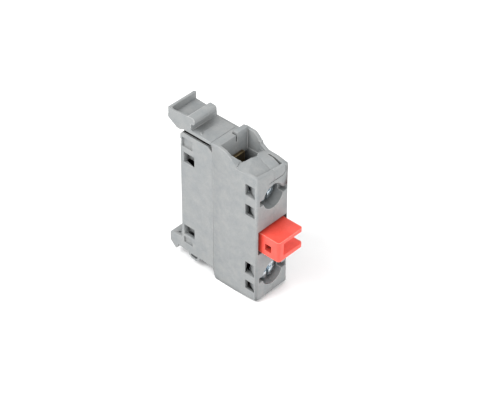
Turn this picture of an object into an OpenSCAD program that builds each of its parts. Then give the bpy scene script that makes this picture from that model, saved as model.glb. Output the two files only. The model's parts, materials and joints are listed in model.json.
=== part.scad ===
// Slim contact block of a modular industrial push button: a normally closed, double-break
// switching element in a two-part housing, with a through plunger and two screw terminals.
//
// The working frame of the modules has x = 0 on the front (terminal) face, pointing out of it,
// y = 0 at half the block's width and z = 0 at the lower edge of the front face.
// placed() moves it so that the origin is under the middle of the whole block, on its lowest face.

/* [Housing] */
// Width of the block, the pitch at which blocks sit side by side
body_w = 10; // [9.8:0.1:11]
// Depth of the housing from its front face to its rear face
body_d = 22.7; // [22.4:0.1:24]
// Height of the front face at its middle
front_h = 33.3; // [33:0.1:34]
// Height of the flat top behind the wire entry
top_z = 36.95; // [36.9:0.05:37.2]
// Thickness of the outer walls
wall = 1.1; // [1:0.05:1.2]
// Place of the parting plane between the two shells, across the width
split_y = 0.5; // [0.4:0.05:0.6]
// Radius of the upright outer edges
edge_r = 0.5; // [0.3:0.05:0.6]

/* [Plunger] */
// How far the plunger stands out of the front face at rest
plunger_out = 5.2; // [4.8:0.1:5.4]
// Width of the plunger
plunger_w = 7.7; // [7.6:0.05:7.8]
// Height of the plunger
plunger_h = 5.25; // [5:0.05:5.4]
// Height of the plunger's axis above the front face's lower edge
plunger_z = 16; // [15.9:0.05:16.1]

/* [Terminals] */
// Height of the lower terminal screw
low_screw_z = 5.35; // [5.3:0.05:5.4]
// Distance between the two terminal screws
terminal_pitch = 21.4; // [21.3:0.05:21.5]
// Radius of the screwdriver bore in the front face
bore_r = 3.15; // [3.1:0.05:3.2]
// Radius of the terminal screw's thread
thread_r = 1.5; // [1.4:0.05:1.55]
// Radius of the terminal screw's head
head_r = 2.65; // [2.5:0.05:2.75]
// Depth of the upper screw's head below the front face, screwed down part of the way
upper_depth = 2.1; // [1.9:0.1:2.6]
// Depth of the lower screw's head below the front face, backed out
lower_depth = 1.4; // [1.3:0.1:1.6]

/* [Latch and hook] */
// Reach of the latch and the hook behind the front face
rear_reach = 26.4; // [26.1:0.1:26.6]
// Width of the latch and the hook, measured from the housing shell's side
latch_w = 8.2; // [7.8:0.1:8.4]
// Height of the latch's finger ridge
ridge_z = 40.5; // [40.2:0.1:40.8]

/* [Contacts] */
// Distance from the middle of the bridge to each contact tip
tip_offset = 4.6; // [4.5:0.05:4.7]
// Radius of a contact tip
tip_r = 1.1; // [1:0.05:1.15]
// Thickness of the brass strip
strip_t = 0.8; // [0.7:0.05:0.85]

/* [Hidden] */

$fn = 48;

near_y = -body_w / 2;
far_y = body_w / 2;
axis_y = 0.2;                          // middle of the mechanism, a little off the block's middle
inner_y = far_y - wall;                // half width of the chambers
up_screw_z = low_screw_z + terminal_pitch;
mid_z = (low_screw_z + up_screw_z) / 2;
foot_z = -0.7;                         // lowest face, on which the block stands
front_x = (rear_reach - plunger_out) / 2;
eps = 0.01;

// Depths behind the front face
notch_d = 1.6;                         // notches in the sides of a screwdriver bore
front_wall = 3.4;                      // front wall round the bores
bulkhead_x = -8.4;                     // rear face of the wall that the springs stand on
bulkhead_t = 1.4;
cavity_x = -body_d + wall;             // inner face of the rear wall
latch_root_x = -13.3;                  // where the latch's arm leaves the shell
arm_z = 36.2;                          // underside of the latch's arm
slot_z = 35.15;                        // floor of the slot below the arm
strip_x = -11.1;                       // rear face of the upright part of a terminal strip
bridge_x = -16;                        // rear face of the contact bridge
bridge_t = 0.8;
tip_t = 0.6;
contact_gap = 0.02;                    // closed contacts, drawn just clear of each other
nose_x = -17.7;                        // front face of the plunger's pushing nose

shell_grey = [0.60, 0.62, 0.63];
plunger_red = [0.93, 0.29, 0.24];
brass_tone = [0.80, 0.66, 0.36];
silver_tone = [0.82, 0.82, 0.80];
zinc_tone = [0.74, 0.76, 0.78];
spring_tone = [0.66, 0.67, 0.68];

// ---------- helpers ----------

module placed() {
    translate([front_x, 0, -foot_z]) children();
}

// A drawing in x and z, made solid from y0 to y1
module along_y(y0, y1) {
    translate([0, y1, 0]) rotate([90, 0, 0]) linear_extrude(y1 - y0) children();
}

// A box from its lowest to its highest corner
module block(low, high) {
    translate(low) cube(high - low);
}

// A cylinder along x
module x_rod(r, x0, x1, y, z) {
    translate([x0, y, z]) rotate([0, 90, 0]) cylinder(r = r, h = x1 - x0);
}

// A rectangle with four round corners, from exact arcs
module round_rect(low, high, r) {
    translate([low.x + r, low.y]) square([high.x - low.x - 2 * r, high.y - low.y]);
    translate([low.x, low.y + r]) square([high.x - low.x, high.y - low.y - 2 * r]);
    for (x = [low.x + r, high.x - r], y = [low.y + r, high.y - r])
        translate([x, y]) circle(r);
}

// Round wire wound along x, from x0 to x1, with one closed turn at each end
module coil_spring(x0, x1, coil_r, wire_r, turns) {
    sides = 6;
    per_turn = 16;
    steps = turns * per_turn;
    run = x1 - x0 - 2 * wire_r;
    function rise(t) =
        t < 1 ? t * 2 * wire_r :
        t > turns - 1 ? run - (turns - t) * 2 * wire_r :
        2 * wire_r + (t - 1) * (run - 4 * wire_r) / (turns - 2);
    points = [
        for (i = [0 : steps], j = [0 : sides - 1])
            let (t = i / per_turn, w = 360 * j / sides, r = coil_r + wire_r * cos(w))
            [x0 + wire_r + rise(t) + wire_r * 0.96 * sin(w), r * cos(360 * t), r * sin(360 * t)]
    ];
    skin = [
        for (i = [0 : steps - 1], j = [0 : sides - 1])
            let (a = i * sides + j, b = i * sides + (j + 1) % sides)
            [a, b, b + sides, a + sides]
    ];
    first_cap = [for (j = [sides - 1 : -1 : 0]) j];
    last_cap = [for (j = [0 : sides - 1]) steps * sides + j];
    translate([0, axis_y, mid_z]) polyhedron(points, concat([first_cap], skin, [last_cap]));
}

// ---------- housing ----------

// Side outline that both shells share up to the floor of the latch slot
module body_outline() {
    polygon([
        [-body_d, 2.2], [-body_d, slot_z - 0.8], [-body_d + 0.6, slot_z],
        [-7.4, slot_z], [-7.4, 33], [0, 32.6], [0, 0], [-6.5, foot_z],
        [-12.2, foot_z], [-12.9, 0.4], [-13.2, 2.0]
    ]);
}

// Side of the housing shell above that: flat top and the slope beside the wire entry
module near_crest_outline() {
    polygon([
        [latch_root_x, 32], [latch_root_x, top_z], [-10.9, top_z], [-9.2, 36.6],
        [-7.8, 35.8], [-6.5, 34.7], [-5.9, 33.4], [-4.9, 32.7], [-4.9, 32]
    ]);
}

// Far side of the wire entry's collar, on the cover shell
module far_crest_outline() {
    polygon([
        [-12.3, 32], [-12.3, 36.8], [-9.3, 36.7], [-8.3, 35.9], [-7.5, 34.6],
        [-7.2, 34.4], [-5.8, 33.5], [-5.8, 32]
    ]);
}

// Thin slice of the front shoulder; heights are given from the wire entry to the front face
module shoulder_slice(y, x0, x1, z0, z1, z_front) {
    along_y(y - eps / 2, y + eps / 2)
        polygon([[x0, 31], [x0, z0], [x1, z1], [0, z_front], [0, 31]]);
}

// Shoulder between the wire entry and the front face, rising from both sides to the middle
module shoulder(side) {
    middle_y = -1;
    hull() {
        if (side == "near")
            shoulder_slice(near_y + eps, -6.2, -4.9, 33.7, 32.7, front_h + 0.5);
        else
            shoulder_slice(far_y - eps, -5.8, -2.8, 33.5, 33.4, front_h - 0.5);
        shoulder_slice(middle_y, -6.2, -3.8, 34.9, 34.8, front_h);
    }
}

// Mouth of the upper wire entry, seen from above
module funnel_plan() {
    polygon([
        [strip_x, -4.3], [-7.9, -4.2], [-6.9, -3.5], [-5.9, -2.4], [-5.3, -0.9], [-5.3, 0.6],
        [-5.8, 1.7], [-6.6, 2.6], [-7.5, inner_y + 0.2], [strip_x, inner_y + 0.2]
    ]);
}

// Everything hollow that the two shells share
module chambers() {
    // contact chamber, behind the bulkhead
    block([cavity_x, -inner_y, mid_z - 6.75], [bulkhead_x, inner_y, mid_z + 6.75]);
    for (s = [-1, 1]) {
        screw_z = mid_z + s * terminal_pitch / 2;
        // terminal chamber
        block([-13.6, -inner_y, screw_z - 4.3], [-front_wall, inner_y, screw_z + 4.3]);
        // hollow behind it, which the screw's tip runs into
        block([cavity_x, -inner_y, screw_z - 2.3], [-13.5, inner_y, screw_z + 2.3]);
        // way from the terminal chamber to the contact chamber, for the brass strip
        block([-18.4, -inner_y, mid_z + s * 6.5 - 0.5], [-13.5, inner_y, mid_z + s * 6.5 + 0.5]);
        block([-13.6, -inner_y, mid_z + s * 6.3 - 0.5], [-10, inner_y, mid_z + s * 6.3 + 0.5]);
        // screwdriver bore, with a notch in each side
        x_rod(bore_r, -front_wall - 1, 1, axis_y, screw_z);
        block([-notch_d, -4.0, screw_z + s * 0.05 - 0.7], [1, 4.5, screw_z + s * 0.05 + 0.7]);
    }
    // upper wire entry: funnel and shaft
    translate([0, 0, 31.9]) linear_extrude(7) funnel_plan();
    block([strip_x, -inner_y, 30], [-5.2, inner_y, 32]);
    // lower wire entry, through the foot
    block([strip_x, -inner_y + 0.4, foot_z - 1], [-5.4, inner_y - 0.4, 3]);
    // plunger channels: beside the bulkhead, through the front wall and through the rear wall
    for (y = [-inner_y - 0.05, 2.5])
        block([bulkhead_x - 1, y, plunger_z - 3.1], [-6, y + 1.85, plunger_z + 3.1]);
    block([bulkhead_x + bulkhead_t, -4.5, plunger_z - 3.1], [1, 4.6, plunger_z + 3.3]);
    block([-body_d - 1, axis_y - 2.7, plunger_z - 2.4], [cavity_x + 1, axis_y + 2.7, plunger_z + 2.4]);
}

// Snap windows in the housing shell's side, each [x0, z0, x1, z1, arm z0, arm z1]:
// the arm's heights keep it clear of the screwdriver bores
front_windows = [
    [-3.4, 28.2, -0.7, 31.25, 30.25, 31], [-3.4, 22.9, -0.7, 25.85, 22.65, 23.25],
    [-3.4, 6.3, -0.7, 9.7, 8.95, 9.55], [-3.4, 1.9, -0.7, 4.4, 1.2, 1.85]
];
rear_windows = [
    [-21.7, 27.3, -18.5, 30.0, 27.45, 28.4], [-22.0, 6.7, -18.8, 9.5, 6.85, 7.8]
];
snap_gap = 0.15;
nose_back = near_y + 1.9;                // back of the noses that fill the windows

// A window through the side wall, and the way behind it for the arm and its nose
module window_cut(w) {
    block([w[0], near_y - 1, w[1]], [w[2], nose_back, w[3]]);
    block([w[0], near_y + 0.75, min(w[1], w[4] - snap_gap)],
          [w[2], nose_back + 0.1, max(w[3], w[5] + snap_gap)]);
    block([w[0], near_y + 0.75, w[4] - snap_gap], [w[2], split_y + 1, w[5] + snap_gap]);
}

// Snap arm of the cover shell: an arm across the block, with a nose in the window
// whose face slopes from deep at the rear to shallow at the front
module snap_arm(w, deep, shallow) {
    x0 = w[0] + snap_gap;
    x1 = w[2] - snap_gap;
    z0 = w[1] + snap_gap;
    z1 = w[3] - 0.3;
    block([x0, nose_back - 0.3, w[4]], [x1, inner_y + 0.2, w[5]]);
    block([x0, nose_back - 0.3, min(z0, w[4])], [x1, nose_back, max(z1, w[5])]);
    translate([0, 0, z0]) linear_extrude(z1 - z0) polygon([
        [x0, nose_back - eps], [x0, near_y + deep], [x1, near_y + shallow], [x1, nose_back - eps]
    ]);
}

// Lower fixed hook: its tip points down behind the holder's edge
module hook_outline() {
    polygon([
        [-body_d + 0.5, 6.2], [-body_d, 5.5], [-rear_reach + 0.4, 5.3], [-rear_reach, 4.9],
        [-rear_reach, 2.6], [-24.9, 1.1], [-24.5, 1.1], [-24, 2.5], [-body_d, 2.3],
        [-body_d + 0.5, 2.3]
    ]);
}

// Small eyelet below the rear of the housing shell
module eyelet() {
    along_y(near_y + 0.15, near_y + 1.5) difference() {
        polygon([
            [-20.9, 2.4], [-20.8, 1.5], [-20, 0.8], [-18.6, 0.65], [-17.6, 1.2], [-17.2, 2.4]
        ]);
        polygon([[-20.2, 1.75], [-19.8, 1.3], [-18.7, 1.15], [-18.1, 1.5], [-18, 1.95], [-20, 2]]);
    }
}

// Recessed top of the shoulder behind its front bar, and the slot beside the far rim
module shoulder_tray() {
    bar_t = 0.75;
    along_y(near_y + 0.8, 3.3)
        polygon([[-5, 34.9], [-3.6, 34.1], [-bar_t, 32.8], [-bar_t, 37], [-5, 37]]);
    block([-4.5, 3.25, 32.1], [-bar_t, 3.75, 36]);
}

// Fine groove in the front face through a list of [y, z] points
module front_groove(points) {
    groove_w = 0.13;
    groove_d = 0.3;
    for (i = [0 : len(points) - 2]) {
        run = points[i + 1] - points[i];
        translate([0, points[i].x, points[i].y]) rotate([atan2(run.y, run.x), 0, 0])
            block([-groove_d, -groove_w / 2, -groove_w / 2], [1, norm(run) + groove_w / 2, groove_w / 2]);
    }
}

// Seam above the upper screwdriver bore, where the front corner is set back
module front_seam() {
    front_groove([[4.1, 33.2], [4.1, 31.5], [3.3, 30.7], [-1.2, 30.7]]);
}

module housing_shell() {
    color(shell_grey) placed() {
        difference() {
            intersection() {
                union() {
                    along_y(near_y, split_y) body_outline();
                    along_y(near_y, split_y) near_crest_outline();
                    shoulder("near");
                    intersection() {
                        shoulder("far");
                        block([-7, -1.1, 30], [0, split_y, 40]);
                    }
                    // top plate reaches over the cover shell
                    block([latch_root_x, 0, slot_z + 0.1], [-12.4, 2.75, top_z]);
                }
                translate([0, 0, -5]) linear_extrude(50)
                    round_rect([-body_d, near_y], [0, far_y + 1], edge_r);
            }
            chambers();
            shoulder_tray();
            front_seam();
            for (w = concat(front_windows, rear_windows)) window_cut(w);
            // rear part of the side lies a little deeper than the front part
            block([-30, near_y - 1, -5], [-12.8, near_y + 0.15, slot_z + 0.9]);
            // shallow recesses above and below the rear windows
            block([-22.1, near_y - 1, 31.4], [-19, near_y + 0.7, 33.9]);
            block([-22.1, near_y - 1, 4.3], [-19.5, near_y + 0.6, 6]);
            // trench in the floor of the latch slot, behind its near rim
            block([-22, near_y + 0.7, slot_z - 1.05], [-14.7, split_y + eps, arm_z]);
            // small triangular recess at the front end of the latch slot
            along_y(near_y - 1, near_y + 0.9)
                polygon([[-14.5, slot_z + 0.05], [-13.2, slot_z + 0.05], [-13.2, 34.15]]);
            // small notch in the rear edge
            block([-30, near_y - 1, 31.9], [-body_d + 0.3, near_y + 2, 33.2]);
        }
        difference() {
            along_y(near_y + 0.15, near_y + latch_w) hook_outline();
            // the hook belongs to this shell and stays clear of the cover shell
            block([-body_d - 0.04, split_y, 0], [0, far_y, 10]);
            // small round pit on top
            translate([-24.2, -3.8, 4.8]) cylinder(r = 0.3, h = 2, $fn = 24);
        }
        eyelet();
    }
}

module cover_shell() {
    color(shell_grey) placed() {
        difference() {
            intersection() {
                union() {
                    along_y(split_y, far_y) body_outline();
                    // far wall and raised back wall of the wire entry's collar
                    along_y(inner_y + 0.2, far_y) far_crest_outline();
                    block([-12.3, split_y + 0.3, 32], [strip_x, inner_y + 0.3, 37.4]);
                    block([-7.5, split_y, 30], [-3.9, inner_y + 0.3, 33.3]);
                    // rib that closes the slot below the latch's arm
                    block([-21.5, split_y, 34], [latch_root_x, 2.7, arm_z - 0.3]);
                    intersection() {
                        shoulder("far");
                        block([-6.2, split_y, 30], [0, far_y, 40]);
                    }
                }
                translate([0, 0, -5]) linear_extrude(50)
                    round_rect([-body_d, near_y - 1], [0, far_y], edge_r);
            }
            chambers();
            shoulder_tray();
            front_seam();
            // room for the top plate of the housing shell
            block([latch_root_x - 1, 0, slot_z], [-12.3, 2.85, 40]);
            // shallow relief on the outer side
            block([-20.5, far_y - 0.25, 11], [-14, far_y + 1, 29]);
        }
        difference() {
            union() {
                for (w = front_windows) snap_arm(w, 1.45, 0.35);
                for (w = rear_windows) snap_arm(w, 1.8, 1.6);
            }
            for (z = [low_screw_z, up_screw_z]) x_rod(bore_r, -front_wall - 1, 1, axis_y, z);
            // the arms end on this shell's own walls
            block([-30, split_y + 0.05, -5], [-22.65, far_y, 40]);
        }
    }
}

// ---------- latch ----------

// Sprung arm and finger grip: a trough behind a rolled ridge, open on the far side
module release_latch() {
    rear_x = -rear_reach + 0.35;
    rim_z = 39.95;
    rim_t = 0.8;
    side_t = 0.55;
    floor_z = 38.2;
    ridge_back = -20.4;
    ridge_front = -18.1;
    ridge_r = 0.65;
    lip_z = 38.8;                      // underside of the ridge's front lip
    neck_x = -19.2;                    // front face below the lip
    color(shell_grey) placed() {
        // arm
        block([neck_x - 1, near_y, arm_z], [latch_root_x - 0.05, near_y + 7.75, top_z]);
        // small corner mark on the arm
        block([-17.3, near_y + 0.7, top_z - 0.1], [-17.1, near_y + 1.9, top_z + 0.12]);
        block([-17.3, near_y + 0.7, top_z - 0.1], [-16.5, near_y + 0.9, top_z + 0.12]);
        // head, with the barb below
        along_y(near_y, near_y + latch_w) polygon([
            [rear_x, floor_z], [rear_x, 37.4], [-23.4, 35.75], [-22.3, 35.75], [-21.5, arm_z],
            [neck_x, arm_z], [neck_x, 38], [-20.5, 38]
        ]);
        // rear rim and near side of the trough
        translate([0, 0, 37.6]) linear_extrude(rim_z - 37.6)
            round_rect([rear_x, near_y], [rear_x + rim_t, near_y + latch_w], 0.3);
        along_y(near_y, near_y + side_t) polygon([
            [rear_x + 0.3, 37.6], [rear_x + 0.3, rim_z], [-24.3, rim_z - 0.15],
            [ridge_back + 0.2, 40.35], [ridge_back + 0.2, 37.6]
        ]);
        // ridge
        along_y(near_y, near_y + 6.9) {
            round_rect([ridge_back, lip_z], [ridge_front, ridge_z], ridge_r);
            translate([ridge_back, arm_z]) square([neck_x - ridge_back, ridge_z - ridge_r - arm_z]);
        }
    }
}

// ---------- plunger ----------

module plunger() {
    y0 = axis_y - plunger_w / 2;
    y1 = axis_y + plunger_w / 2;
    z0 = plunger_z - plunger_h / 2;
    z1 = plunger_z + plunger_h / 2;
    plate_t = 0.95;
    rail_t = 0.9;
    rail_h = 4.8;
    rail_out = 3.6;                    // outer face of a rail from the plunger's axis
    color(plunger_red) placed() {
        difference() {
            translate([0, 0, z0]) linear_extrude(plunger_h)
                round_rect([-3.4, y0], [plunger_out, y1], 0.65);
            // recess, open to the front and to the far side
            block([1, y0 + 1.6, z0 + plate_t + 0.15], [plunger_out + 1, y1 + 1, z1 - plate_t]);
            // window in the near wall
            block([1.1, y0 - 1, plunger_z - 1.4], [2.9, y0 + 2, plunger_z + 0.5]);
            // hollow behind, to lighten the moulding
            block([-4, y0 + 1.2, z0 + 1.1], [0, y1 - 1.2, z1 - 1.1]);
        }
        // side rails
        for (y = [axis_y - rail_out, axis_y + rail_out - rail_t])
            block([-21.5, y, plunger_z - rail_h / 2], [-2.6, y + rail_t, plunger_z + rail_h / 2]);
        // rear crossbar, which rests on the rear wall
        block([-21.5, axis_y - rail_out, plunger_z - rail_h / 2],
              [-19.7, axis_y + rail_out, plunger_z + rail_h / 2]);
        // pad that the actuator presses
        block([-22.5, axis_y - 2.4, plunger_z - 2.1], [-21.4, axis_y + 2.4, plunger_z + 2.1]);
        // nose that lifts the bridge off its contacts, with the return spring's pilot
        block([-19.8, axis_y - 1.9, mid_z - 1.9], [nose_x, axis_y + 1.9, mid_z + 1.9]);
        x_rod(0.65, nose_x - 0.1, nose_x + 1, axis_y, mid_z);
    }
}

// ---------- contacts ----------

module contact_bridge() {
    half = tip_offset + 1.3;
    half_w = 2.4;
    side_t = 0.38;
    color(brass_tone) placed() difference() {
        union() {
            block([bridge_x, axis_y - half_w, mid_z - half],
                  [bridge_x + bridge_t, axis_y + half_w, mid_z + half]);
            // turned-up sides stiffen the bridge
            for (y = [axis_y - half_w, axis_y + half_w - side_t])
                block([bridge_x, y, mid_z - 3], [bridge_x + 1.3, y + side_t, mid_z + 3]);
        }
        x_rod(1.35, bridge_x - 1, bridge_x + 3, axis_y, mid_z);
    }
}

module contact_tip(x0, z) {
    x_rod(tip_r, x0, x0 + tip_t, axis_y, z);
}

module bridge_contact_tips() {
    color(silver_tone) placed()
        for (s = [-1, 1]) contact_tip(bridge_x - tip_t, mid_z + s * tip_offset);
}

module contact_spring() {
    color(spring_tone) placed()
        coil_spring(bridge_x + bridge_t + 0.02, bulkhead_x - 0.02, 1.7, 0.22, 6);
}

module return_spring() {
    color(spring_tone) placed()
        coil_spring(nose_x + 0.02, bulkhead_x - 0.02, 0.93, 0.14, 10);
}

// ---------- terminals: side is 1 for the upper one and -1 for the lower one ----------

function screw_z(side) = side > 0 ? up_screw_z : low_screw_z;

// Brass strip: an upright plate behind the wire, a run to the rear and an arm with the contact
module fixed_contact(side) {
    back = bridge_x - tip_t - contact_gap - tip_t - strip_t;
    run_z = 6.4;                       // distance of the run from the middle of the block
    color(brass_tone) placed() difference() {
        translate([0, 0, mid_z]) mirrored(side) {
            block([strip_x, axis_y - 2.2, run_z], [strip_x + strip_t, axis_y + 2.2, 16.15]);
            block([back, axis_y - 2.2, run_z - strip_t / 2], [strip_x + strip_t, axis_y + 2.2, run_z + strip_t / 2]);
            block([back, axis_y - 2.2, tip_offset - 1.4], [back + strip_t, axis_y + 2.2, run_z]);
        }
        x_rod(thread_r + 0.2, strip_x - 1, strip_x + 2, axis_y, screw_z(side));
    }
}

// Mirrors the terminal parts about the block's middle for the lower side
module mirrored(side) {
    mirror([0, 0, side > 0 ? 0 : 1]) children();
}

module fixed_contact_tip(side) {
    color(silver_tone) placed()
        contact_tip(bridge_x - tip_t - contact_gap - tip_t, mid_z + side * tip_offset);
}

module terminal_nut(side) {
    z = screw_z(side);
    color(zinc_tone) placed() difference() {
        block([strip_x - 2.2, axis_y - 2.75, z - 2.75], [strip_x - 0.01, axis_y + 2.75, z + 2.75]);
        x_rod(thread_r + 0.1, strip_x - 3, strip_x + 1, axis_y, z);
    }
}

// depth is that of the screw's head below the front face
module clamp_plate(side, depth) {
    z = screw_z(side);
    x1 = -depth - 2.52;
    color(zinc_tone) placed() difference() {
        union() {
            block([x1 - 1, axis_y - 3.1, z - 3.2], [x1, axis_y + 3.1, z + 3.2]);
            for (dz = [-2.9, 2.2]) block([x1 - 1.5, axis_y - 3.1, z + dz], [x1 - 0.9, axis_y + 3.1, z + dz + 0.7]);
        }
        x_rod(thread_r + 0.25, x1 - 2, x1 + 1, axis_y, z);
    }
}

// Split spring washer
module lock_washer(side, depth) {
    z = screw_z(side);
    x1 = -depth - 1.82;
    color(spring_tone) placed() difference() {
        x_rod(2.5, x1 - 0.7, x1, axis_y, z);
        x_rod(thread_r + 0.15, x1 - 2, x1 + 1, axis_y, z);
        block([x1 - 2, axis_y + 0.5, z - 0.2], [x1 + 1, axis_y + 3, z + 0.2]);
    }
}

// Cheese-head screw with a slot and a cross recess
module terminal_screw(side, depth) {
    z = screw_z(side);
    color(zinc_tone) placed() difference() {
        translate([-depth, axis_y, z]) rotate([0, -90, 0]) rotate_extrude() polygon([
            [0, 0], [head_r - 0.35, 0], [head_r, 0.35], [head_r, 1.8],
            [thread_r, 1.8], [thread_r, 9.6], [thread_r - 0.5, 10.1], [0, 10.1]
        ]);
        // slot right across the head, and a shorter one at right angles
        block([-depth - 0.9, axis_y - 0.4, z - 4], [1, axis_y + 0.4, z + 4]);
        block([-depth - 1.2, axis_y - 1.3, z - 0.35], [1, axis_y + 1.3, z + 0.35]);
    }
}

module upper_fixed_contact() { fixed_contact(1); }
module lower_fixed_contact() { fixed_contact(-1); }
module upper_contact_tip() { fixed_contact_tip(1); }
module lower_contact_tip() { fixed_contact_tip(-1); }
module upper_terminal_nut() { terminal_nut(1); }
module lower_terminal_nut() { terminal_nut(-1); }
module upper_clamp_plate() { clamp_plate(1, upper_depth); }
module lower_clamp_plate() { clamp_plate(-1, lower_depth); }
module upper_lock_washer() { lock_washer(1, upper_depth); }
module lower_lock_washer() { lock_washer(-1, lower_depth); }
module upper_terminal_screw() { terminal_screw(1, upper_depth); }
module lower_terminal_screw() { terminal_screw(-1, lower_depth); }

housing_shell();
cover_shell();
release_latch();
plunger();
contact_bridge();
bridge_contact_tips();
contact_spring();
return_spring();
upper_fixed_contact();
upper_contact_tip();
upper_terminal_nut();
upper_clamp_plate();
upper_lock_washer();
upper_terminal_screw();
lower_fixed_contact();
lower_contact_tip();
lower_terminal_nut();
lower_clamp_plate();
lower_lock_washer();
lower_terminal_screw();
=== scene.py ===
"""Looks of the push button's contact block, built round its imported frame.

Lengths are metres in the row frame.
"""

import json
import math

import bmesh
import bpy
from mathutils import Matrix, Vector


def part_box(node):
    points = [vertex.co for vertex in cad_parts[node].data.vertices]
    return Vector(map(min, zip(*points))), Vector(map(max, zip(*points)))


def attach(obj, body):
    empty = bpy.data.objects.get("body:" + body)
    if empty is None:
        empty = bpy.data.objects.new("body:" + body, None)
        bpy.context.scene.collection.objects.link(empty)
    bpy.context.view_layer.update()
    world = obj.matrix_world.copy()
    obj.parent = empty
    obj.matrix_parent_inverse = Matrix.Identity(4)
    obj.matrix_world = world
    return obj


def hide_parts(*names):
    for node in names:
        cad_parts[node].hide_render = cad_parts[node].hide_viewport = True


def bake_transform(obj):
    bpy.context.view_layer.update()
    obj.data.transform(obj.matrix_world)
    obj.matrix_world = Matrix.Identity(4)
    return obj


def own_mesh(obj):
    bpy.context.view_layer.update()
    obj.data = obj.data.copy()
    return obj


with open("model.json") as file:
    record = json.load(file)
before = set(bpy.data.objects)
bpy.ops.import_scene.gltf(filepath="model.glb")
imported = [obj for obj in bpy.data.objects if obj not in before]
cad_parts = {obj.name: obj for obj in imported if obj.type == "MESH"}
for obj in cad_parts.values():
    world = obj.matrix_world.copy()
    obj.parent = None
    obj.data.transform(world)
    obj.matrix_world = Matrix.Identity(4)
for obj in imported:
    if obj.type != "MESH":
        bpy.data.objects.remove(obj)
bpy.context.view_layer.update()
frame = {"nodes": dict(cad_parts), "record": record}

MM = 0.001
NODES = frame["nodes"]
BODY_OF = {n: b for b, names in frame["record"]["behaviour"]["bodies"].items() for n in names}
SLOT_OF = {s["node"]: s["material_slot"] for s in frame["record"]["subparts"]}

# ---------- shader helpers ----------


class Shader:
    """A Principled material with its nodes laid out by short calls."""

    def __init__(self, name, roughness, metallic=0.0, specular=0.5):
        self.material = bpy.data.materials.new(name)
        self.material.use_nodes = True
        self.nodes = self.material.node_tree.nodes
        self.links = self.material.node_tree.links
        self.principled = self.nodes["Principled BSDF"]
        self.principled.inputs["Roughness"].default_value = roughness
        self.principled.inputs["Metallic"].default_value = metallic
        self.principled.inputs["Specular IOR Level"].default_value = specular
        self.coords = self.nodes.new("ShaderNodeTexCoord").outputs["Object"]

    def stretched(self, scale):
        """Object coordinates stretched along each axis."""
        mapping = self.nodes.new("ShaderNodeMapping")
        mapping.inputs["Scale"].default_value = scale
        self.links.new(self.coords, mapping.inputs["Vector"])
        return mapping.outputs["Vector"]

    def noise(self, size, detail=3.0, rough=0.55, vector=None):
        """Noise whose grain is about size metres across."""
        tex = self.nodes.new("ShaderNodeTexNoise")
        tex.inputs["Scale"].default_value = 1.0 / size
        tex.inputs["Detail"].default_value = detail
        tex.inputs["Roughness"].default_value = rough
        self.links.new(vector or self.coords, tex.inputs["Vector"])
        return tex.outputs["Fac"]

    def ramp(self, factor, stops):
        """A colour ramp through (position, value) stops, where a value is a colour or a grey."""
        node = self.nodes.new("ShaderNodeValToRGB")
        elements = node.color_ramp.elements
        while len(elements) < len(stops):
            elements.new(0.5)
        for element, (position, value) in zip(elements, stops):
            element.position = position
            rgb = value if isinstance(value, (tuple, list)) else (value,) * 3
            element.color = (*rgb, 1)
        self.links.new(factor, node.inputs["Fac"])
        return node.outputs["Color"]

    def mix(self, factor, a, b, mode="MIX"):
        """Mixes two colours; factor, a and b are sockets or constants."""
        node = self.nodes.new("ShaderNodeMix")
        node.data_type = "RGBA"
        node.blend_type = mode
        sockets = (node.inputs["Factor"], node.inputs["A"], node.inputs["B"])
        for socket, value in zip(sockets, (factor, a, b)):
            if isinstance(value, bpy.types.NodeSocket):
                self.links.new(value, socket)
            elif isinstance(value, (tuple, list)):
                socket.default_value = (*value, 1)
            else:
                socket.default_value = value
        return node.outputs["Result"]

    def rounded_normal(self, radius):
        """The surface normal as if every edge were rounded to radius."""
        bevel = self.nodes.new("ShaderNodeBevel")
        bevel.samples = 6
        bevel.inputs["Radius"].default_value = radius
        return bevel.outputs["Normal"]

    def edges(self, radius):
        """Painted highlights: white along edges, from how far the rounded normal leans from the true one.
        """
        first_lean, full_lean = 0.02, 0.25
        geometry = self.nodes.new("ShaderNodeNewGeometry")
        dot = self.nodes.new("ShaderNodeVectorMath")
        dot.operation = "DOT_PRODUCT"
        self.links.new(self.rounded_normal(radius), dot.inputs[0])
        self.links.new(geometry.outputs["Normal"], dot.inputs[1])
        return self.ramp(dot.outputs["Value"], [(1 - full_lean, 1.0), (1 - first_lean, 0.0)])

    def painted_crevice_shade(self, reach, darkest_shade):
        """Painted shade: white in the open, falling to the darkest grey given where surfaces less than
        reach metres away close in.
        """
        closed_in, open_again = 0.25, 0.7
        occlusion = self.nodes.new("ShaderNodeAmbientOcclusion")
        occlusion.samples = 8
        occlusion.inputs["Distance"].default_value = reach
        return self.ramp(occlusion.outputs["AO"], [(closed_in, darkest_shade), (open_again, 1.0)])

    def bump(self, layers, radius):
        """Chains bump layers of (height socket, strength, depth in metres) onto the rounded normal."""
        normal = self.rounded_normal(radius)
        for height, strength, depth in layers:
            node = self.nodes.new("ShaderNodeBump")
            node.inputs["Strength"].default_value = strength
            node.inputs["Distance"].default_value = depth
            self.links.new(height, node.inputs["Height"])
            self.links.new(normal, node.inputs["Normal"])
            normal = node.outputs["Normal"]
        self.links.new(normal, self.principled.inputs["Normal"])

    def colour(self, socket):
        """Feeds the base colour."""
        self.links.new(socket, self.principled.inputs["Base Color"])

    def roughness(self, socket):
        """Feeds the roughness."""
        self.links.new(socket, self.principled.inputs["Roughness"])


# ---------- materials ----------


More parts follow.
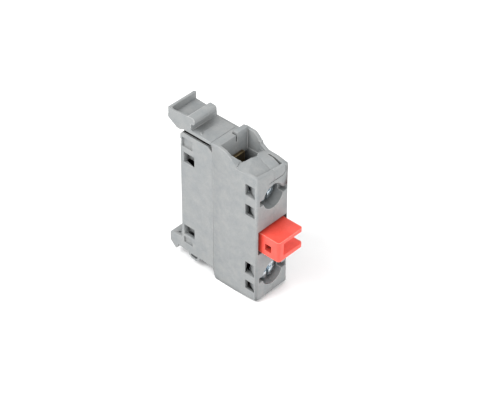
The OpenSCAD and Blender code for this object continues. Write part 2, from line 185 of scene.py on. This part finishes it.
def moulded_plastic(name, dark, light, edge_highlight, gloss, grain, darkest_shade):
    """Moulded thermoplastic: cloudy tone, fine eroded texture, painted highlights along edges, painted
    shade in crevices.
    """
    s = Shader(name, roughness=0.5, specular=0.45)
    clouds = s.ramp(s.noise(2.6 * MM, detail=4.0, rough=0.62), [(0.32, dark), (0.68, light)])
    speckle = s.ramp(s.noise(0.28 * MM, detail=2.0, rough=0.7), [(0.3, 0.93), (0.7, 1.05)])
    tone = s.mix(1.0, clouds, speckle, "MULTIPLY")
    # Painted shade: the base colour is darkened in crevices, recesses and holes
    tone = s.mix(1.0, tone, s.painted_crevice_shade(2.6 * MM, darkest_shade), "MULTIPLY")
    # Painted highlight: the base colour is mixed towards the pale edge colour along edges
    s.colour(s.mix(s.edges(0.22 * MM), tone, edge_highlight))
    s.roughness(s.ramp(s.noise(0.9 * MM), [(0.3, gloss[0]), (0.7, gloss[1])]))
    s.bump(
        [
            (s.noise(0.16 * MM, rough=0.65), grain, 0.02 * MM),
            (s.noise(1.7 * MM, detail=2.0, rough=0.5), 0.22, 0.05 * MM),
        ],
        radius=0.09 * MM,
    )
    return s.material


def metal(name, dark, light, rough, brushed=(1, 1, 1), edge_highlight=None):
    """Plated or drawn metal: patchy tone, fine marks and, where an edge colour is given, painted highlights
    along the edges.
    """
    s = Shader(name, roughness=0.35, metallic=1.0)
    patches = s.ramp(s.noise(1.1 * MM, detail=4.0, rough=0.6), [(0.3, dark), (0.7, light)])
    # Painted highlight along the edges, where an edge colour is given
    s.colour(s.mix(s.edges(0.3 * MM), patches, edge_highlight) if edge_highlight else patches)
    marks = s.noise(0.12 * MM, rough=0.6, vector=s.stretched(brushed))
    s.roughness(s.ramp(s.noise(0.5 * MM), [(0.3, rough[0]), (0.7, rough[1])]))
    s.bump([(marks, 0.35, 0.008 * MM)], radius=0.07 * MM)
    return s.material


# The record's material slots and the material that each one shows
# The edge colours below are painted highlights along edges, and the darkest greys the painted shade in
# crevices
FINISH = {
    "shell_grey": moulded_plastic(
        "shell_grey",
        dark=(0.222, 0.236, 0.242),
        light=(0.272, 0.278, 0.276),
        edge_highlight=(0.60, 0.61, 0.60),
        gloss=(0.42, 0.6),
        grain=0.4,
        darkest_shade=0.38,
    ),
    "plunger_red": moulded_plastic(
        "plunger_red",
        dark=(0.74, 0.062, 0.040),
        light=(0.82, 0.088, 0.060),
        edge_highlight=(0.95, 0.44, 0.36),
        gloss=(0.28, 0.42),
        grain=0.16,
        darkest_shade=0.72,
    ),
    "zinc": metal(
        "zinc_plate",
        dark=(0.50, 0.58, 0.64),
        light=(0.84, 0.90, 0.93),
        rough=(0.16, 0.30),
    ),
    # Painted shade: the brass tone is kept dark for faces that lie in shadow, with painted highlights along
    # its edges
    "brass": metal(
        "brass_in_painted_shade",
        dark=(0.13, 0.10, 0.06),
        light=(0.22, 0.16, 0.09),
        rough=(0.4, 0.55),
        brushed=(1, 6, 1),
        edge_highlight=(0.95, 0.76, 0.40),
    ),
    "silver": metal(
        "silver_alloy",
        dark=(0.66, 0.65, 0.62),
        light=(0.86, 0.85, 0.82),
        rough=(0.35, 0.5),
    ),
    "spring_steel": metal(
        "spring_wire",
        dark=(0.40, 0.41, 0.43),
        light=(0.60, 0.61, 0.63),
        rough=(0.22, 0.36),
        brushed=(5, 1, 1),
    ),
}

# ---------- pieces ----------


def finished(obj, slot_name):
    """Gives a new piece the material that the record's slot shows."""
    obj.data.materials.clear()
    obj.data.materials.append(FINISH[slot_name])
    return obj


# Points nearer than WELD become one, faces that lean less than FLAT become one face,
# and an edge has to turn by more than SHARP to be broken
WELD = 0.002 * MM
FLAT = math.radians(0.6)
SHARP = math.radians(28)
# An edge is broken only where it is this many times longer than the break is wide,
# and where both faces beside it have room for it
LEAST_LENGTH = 5
LEAST_AREA = 14


def rounded_copy(node, name, width, cuts=()):
    """A copy of a CAD node with whole flat faces and broken long edges, divided at x in cuts."""
    obj = bpy.data.objects.new(name, NODES[node].data.copy())
    bpy.context.scene.collection.objects.link(obj)
    mesh = bmesh.new()
    mesh.from_mesh(obj.data)
    bmesh.ops.remove_doubles(mesh, verts=mesh.verts, dist=WELD)
    bmesh.ops.dissolve_limit(mesh, angle_limit=FLAT, verts=mesh.verts, edges=mesh.edges)
    sharp = [
        e
        for e in mesh.edges
        if e.is_manifold
        and e.calc_face_angle(0.0) > SHARP
        and e.calc_length() > LEAST_LENGTH * width
        and min(f.calc_area() for f in e.link_faces) > LEAST_AREA * width**2
    ]
    bmesh.ops.bevel(
        mesh,
        geom=sharp,
        offset=width,
        offset_type="OFFSET",
        segments=2,
        profile=0.5,
        affect="EDGES",
        clamp_overlap=False,
    )
    bmesh.ops.dissolve_degenerate(mesh, dist=WELD, edges=mesh.edges)
    for x in cuts:
        bmesh.ops.bisect_plane(
            mesh,
            geom=mesh.verts[:] + mesh.edges[:] + mesh.faces[:],
            plane_co=(x, 0, 0),
            plane_no=(1, 0, 0),
        )
    bmesh.ops.triangulate(mesh, faces=[f for f in mesh.faces if len(f.verts) > 4])
    bmesh.ops.recalc_face_normals(mesh, faces=mesh.faces)
    mesh.to_mesh(obj.data)
    mesh.free()
    smooth_by_angle(obj.data)
    return finished(obj, SLOT_OF[node])


def smooth_by_angle(data, degrees=32.0):
    """Smooth shading, with edges over the angle kept sharp."""
    data.polygons.foreach_set("use_smooth", [True] * len(data.polygons))
    data.set_sharp_from_angle(angle=math.radians(degrees))


def new_mesh(name, points, faces, slot_name):
    """A finished piece from its points and faces."""
    data = bpy.data.meshes.new(name)
    data.from_pydata(points, [], faces)
    data.validate()
    obj = bpy.data.objects.new(name, data)
    bpy.context.scene.collection.objects.link(obj)
    smooth_by_angle(data)
    return finished(obj, slot_name)


def place_on_body(obj, node):
    """Puts a piece on its CAD node's body, in the node's place."""
    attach(obj, BODY_OF[node])
    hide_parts(node)


# Moulded and stamped pieces: broken edges on a copy of the CAD shape
EDGE_BREAKS = {
    "housing_shell": ("housing_moulding", 0.09 * MM),
    "cover_shell": ("cover_moulding", 0.09 * MM),
    "plunger": ("plunger_moulding", 0.11 * MM),
    "contact_bridge": ("bridge_stamping", 0.06 * MM),
    "upper_fixed_contact": ("upper_strip", 0.06 * MM),
    "lower_fixed_contact": ("lower_strip", 0.06 * MM),
    "upper_clamp_plate": ("upper_clamp_stamping", 0.06 * MM),
    "lower_clamp_plate": ("lower_clamp_stamping", 0.06 * MM),
    "upper_terminal_nut": ("upper_square_nut", 0.08 * MM),
    "lower_terminal_nut": ("lower_square_nut", 0.08 * MM),
}
for cad_node, (piece_name, edge_width) in EDGE_BREAKS.items():
    place_on_body(rounded_copy(cad_node, piece_name, edge_width), cad_node)

# The latch bends over the first part of its arm, so it is divided there
latch_low, latch_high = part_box("release_latch")
BEND_LENGTH = 3.4 * MM
BEND_STEPS = 8
root_x = latch_high.x
bends = [root_x - BEND_LENGTH * i / BEND_STEPS for i in range(1, BEND_STEPS + 1)]
latch = rounded_copy("release_latch", "latch_moulding", 0.1 * MM, cuts=bends)
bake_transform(latch)
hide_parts("release_latch")


def coil(name, node, coil_r, wire_r, turns):
    """Round wire wound along X inside its CAD node's box, with a closed turn at each end."""
    sides, per_turn = 12, 40
    low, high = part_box(node)
    centre_y, centre_z = (low.y + high.y) / 2, (low.z + high.z) / 2
    run = high.x - low.x - 2 * wire_r
    closed = 2 * wire_r
    points, faces = [], []
    count = turns * per_turn
    for i in range(count + 1):
        turn = i / per_turn
        if turn < 1:
            rise = turn * closed
        elif turn > turns - 1:
            rise = run - (turns - turn) * closed
        else:
            rise = closed + (turn - 1) * (run - 2 * closed) / (turns - 2)
        angle = 2 * math.pi * turn
        for j in range(sides):
            around = 2 * math.pi * j / sides
            radius = coil_r + wire_r * math.cos(around)
            points.append(
                (
                    low.x + wire_r + rise + wire_r * math.sin(around),
                    centre_y + radius * math.cos(angle),
                    centre_z + radius * math.sin(angle),
                )
            )
    for i in range(count):
        for j in range(sides):
            a, b = i * sides + j, i * sides + (j + 1) % sides
            faces.append((a, b, b + sides, a + sides))
    faces.append(tuple(range(sides - 1, -1, -1)))
    faces.append(tuple(count * sides + j for j in range(sides)))
    obj = new_mesh(name, points, faces, "spring_steel")
    place_on_body(obj, node)
    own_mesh(obj)


for spring_name, spring_node, coil_r, wire_r, turns, joint in (
    ("contact_spring_wire", "contact_spring", 1.7 * MM, 0.21 * MM, 6, "bridge_lift"),
    ("return_spring_wire", "return_spring", 0.93 * MM, 0.13 * MM, 10, "plunger_slide"),
):
    coil(spring_name, spring_node, coil_r, wire_r, turns)


def threaded_screw(name, node):
    """Head from the CAD screw, and a shank with a rolled thread under it."""
    head_depth, overlap = 1.8 * MM, 0.1 * MM
    thread_r, root_cut, pitch = 1.5 * MM, 0.24 * MM, 0.5 * MM
    tip_length, tip_cut = 0.5 * MM, 0.5 * MM
    flank_slope, root_flat = 1.35, 0.12
    sides, rings_per_turn = 36, 10
    edge_break, crease = 0.07 * MM, 40.0
    obj = rounded_copy(node, name, edge_break)
    low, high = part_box(node)
    centre_y, centre_z = (low.y + high.y) / 2, (low.z + high.z) / 2
    under_head = high.x - head_depth
    mesh = bmesh.new()
    mesh.from_mesh(obj.data)
    bmesh.ops.bisect_plane(
        mesh,
        geom=mesh.verts[:] + mesh.edges[:] + mesh.faces[:],
        plane_co=(under_head - overlap / 2, 0, 0),
        plane_no=(1, 0, 0),
        clear_inner=True,
    )
    open_edges = [e for e in mesh.edges if e.is_boundary]
    bmesh.ops.holes_fill(mesh, edges=open_edges)
    shank_from, shank_to = under_head + overlap, low.x
    rings = int((shank_from - shank_to) / pitch * rings_per_turn)
    grid = []
    for i in range(rings + 1):
        x = shank_from + (shank_to - shank_from) * i / rings
        tip_r = thread_r - tip_cut * (1 - min(1.0, (x - shank_to) / tip_length))
        row = []
        for j in range(sides):
            angle = 2 * math.pi * j / sides
            phase = ((x - shank_to) / pitch + j / sides) % 1.0
            height = min(1.0, max(0.0, flank_slope * (1 - abs(2 * phase - 1)) - root_flat))
            radius = min(thread_r - root_cut * (1 - height), tip_r)
            y = centre_y + radius * math.cos(angle)
            z = centre_z + radius * math.sin(angle)
            row.append(mesh.verts.new((x, y, z)))
        grid.append(row)
    for a, b in zip(grid, grid[1:]):
        for j in range(sides):
            k = (j + 1) % sides
            mesh.faces.new((a[j], a[k], b[k], b[j]))
    mesh.faces.new(grid[0][::-1])
    mesh.faces.new(grid[-1])
    bmesh.ops.recalc_face_normals(mesh, faces=mesh.faces)
    mesh.to_mesh(obj.data)
    mesh.free()
    smooth_by_angle(obj.data, crease)
    place_on_body(obj, node)


threaded_screw("upper_screw_rolled", "upper_terminal_screw")
threaded_screw("lower_screw_rolled", "lower_terminal_screw")

for cad_node, cad_object in NODES.items():
    cad_object.data.materials.clear()
    cad_object.data.materials.append(FINISH[SLOT_OF[cad_node]])

# ---------- stage, light and camera ----------

FLOOR_HALF = 1.5
floor_corners = [(x * FLOOR_HALF, y * FLOOR_HALF, 0) for x, y in ((-1, -1), (1, -1), (1, 1), (-1, 1))]
floor_mesh = bpy.data.meshes.new("floor")
floor_mesh.from_pydata(floor_corners, [], [(0, 1, 2, 3)])
floor = bpy.data.objects.new("floor", floor_mesh)
bpy.context.scene.collection.objects.link(floor)
paper = Shader("white_paper", roughness=0.9, specular=0.1)
paper.colour(paper.ramp(paper.noise(8 * MM, detail=2.0), [(0.3, 0.93), (0.7, 0.95)]))
floor_mesh.materials.append(paper.material)

world = bpy.data.worlds.new("studio")
world.use_nodes = True
world.node_tree.nodes["Background"].inputs["Color"].default_value = (1, 1, 1, 1)
world.node_tree.nodes["Background"].inputs["Strength"].default_value = 1.0
bpy.context.scene.world = world


def softbox(name, place, target, size, power):
    """A round area light of size metres and power watts that faces target."""
    light = bpy.data.lights.new(name, "AREA")
    light.shape = "DISK"
    light.size = size
    light.energy = power
    obj = bpy.data.objects.new(name, light)
    bpy.context.scene.collection.objects.link(obj)
    obj.location = place
    direction = Vector(target) - Vector(place)
    obj.rotation_euler = direction.to_track_quat("-Z", "Y").to_euler()


AIM = (0.0, 0.0, 0.02)
softbox("key", (-0.15, -0.37, 0.50), AIM, 0.35, 2.7)
softbox("fill", (0.45, -0.15, 0.30), AIM, 0.3, 0.9)

# The camera looks down on the front corner of the housing side
CAMERA_AT = Vector((0.220287, -0.236404, 0.283715))
AZIMUTH, DOWN, ROLL = (math.radians(v) for v in (42.452, 39.159, 0.35))
forward = Vector((-math.sin(AZIMUTH) * math.cos(DOWN), math.cos(AZIMUTH) * math.cos(DOWN), -math.sin(DOWN)))
level = Vector((math.cos(AZIMUTH), math.sin(AZIMUTH), 0))
upward = level.cross(forward)
right = math.cos(ROLL) * level + math.sin(ROLL) * upward
above = -math.sin(ROLL) * level + math.cos(ROLL) * upward
camera_data = bpy.data.cameras.new("camera")
camera_data.sensor_width = 36
camera_data.lens = 137.93
camera_data.clip_start = 0.01
camera = bpy.data.objects.new("camera", camera_data)
bpy.context.scene.collection.objects.link(camera)
camera.matrix_world = Matrix((right, above, -forward)).transposed().to_4x4()
camera.location = CAMERA_AT
bpy.context.scene.camera = camera

bpy.context.scene.view_settings.view_transform = "Standard"
bpy.context.view_layer.update()
